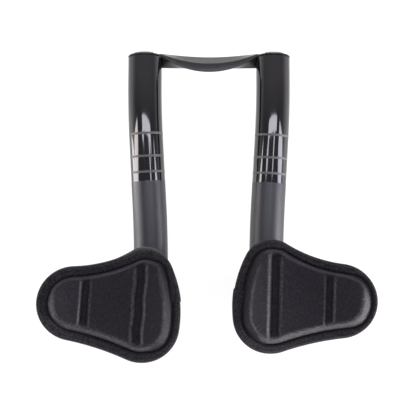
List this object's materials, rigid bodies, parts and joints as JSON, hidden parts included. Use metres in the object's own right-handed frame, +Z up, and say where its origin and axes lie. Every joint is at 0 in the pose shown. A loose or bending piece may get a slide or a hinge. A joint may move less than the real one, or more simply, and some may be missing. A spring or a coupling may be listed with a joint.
{
  "type": "aero handlebar extension",
  "caption": "Short clip-on aero bar: bridged black extension tubes on handlebar clamps, with bound foam arm pads in dished cups.",
  "frame": {"origin": "on the handlebar's axis, midway between the two clamps", "axes": "+X to the rider's right along the handlebar, +Y forward, +Z up"},
  "size_m": [0.2146, 0.2007, 0.0968],
  "materials": {
    "tube": "gloss black front, satin rear",
    "bridge_plastic": "satin black",
    "clamp_metal": "black anodised, fine blasted",
    "bolt_steel": "black oxide",
    "cup_plastic": "moulded, fine grain",
    "soft_plastic": "satin",
    "hook_tape": "hook pile",
    "loop_backing": "brushed loop",
    "pad_fabric": "stretch knit with a soft sheen",
    "binding_tape": "woven tape"
  },
  "bodies": {
    "root": {"left_extension_tube": "tube", "right_extension_tube": "tube", "left_end_plug": "clamp_metal", "right_end_plug": "clamp_metal", "left_rear_cap": "soft_plastic", "right_rear_cap": "soft_plastic", "left_clamp_body": "clamp_metal", "right_clamp_body": "clamp_metal", "left_clamp_cap": "clamp_metal", "right_clamp_cap": "clamp_metal", "left_riser": "clamp_metal", "right_riser": "clamp_metal", "left_arm_cup": "cup_plastic", "right_arm_cup": "cup_plastic", "left_hook_tape": "hook_tape", "right_hook_tape": "hook_tape", "left_pad_backing": "loop_backing", "right_pad_backing": "loop_backing", "left_pad_cushion": "pad_fabric", "right_pad_cushion": "pad_fabric", "left_pad_binding": "binding_tape", "right_pad_binding": "binding_tape", "bridge": "bridge_plastic", "bar_clamp_bolts": "bolt_steel", "pinch_bolts": "bolt_steel", "arm_cup_bolts": "bolt_steel", "bridge_screws": "bolt_steel"}
  },
  "joints": []
}
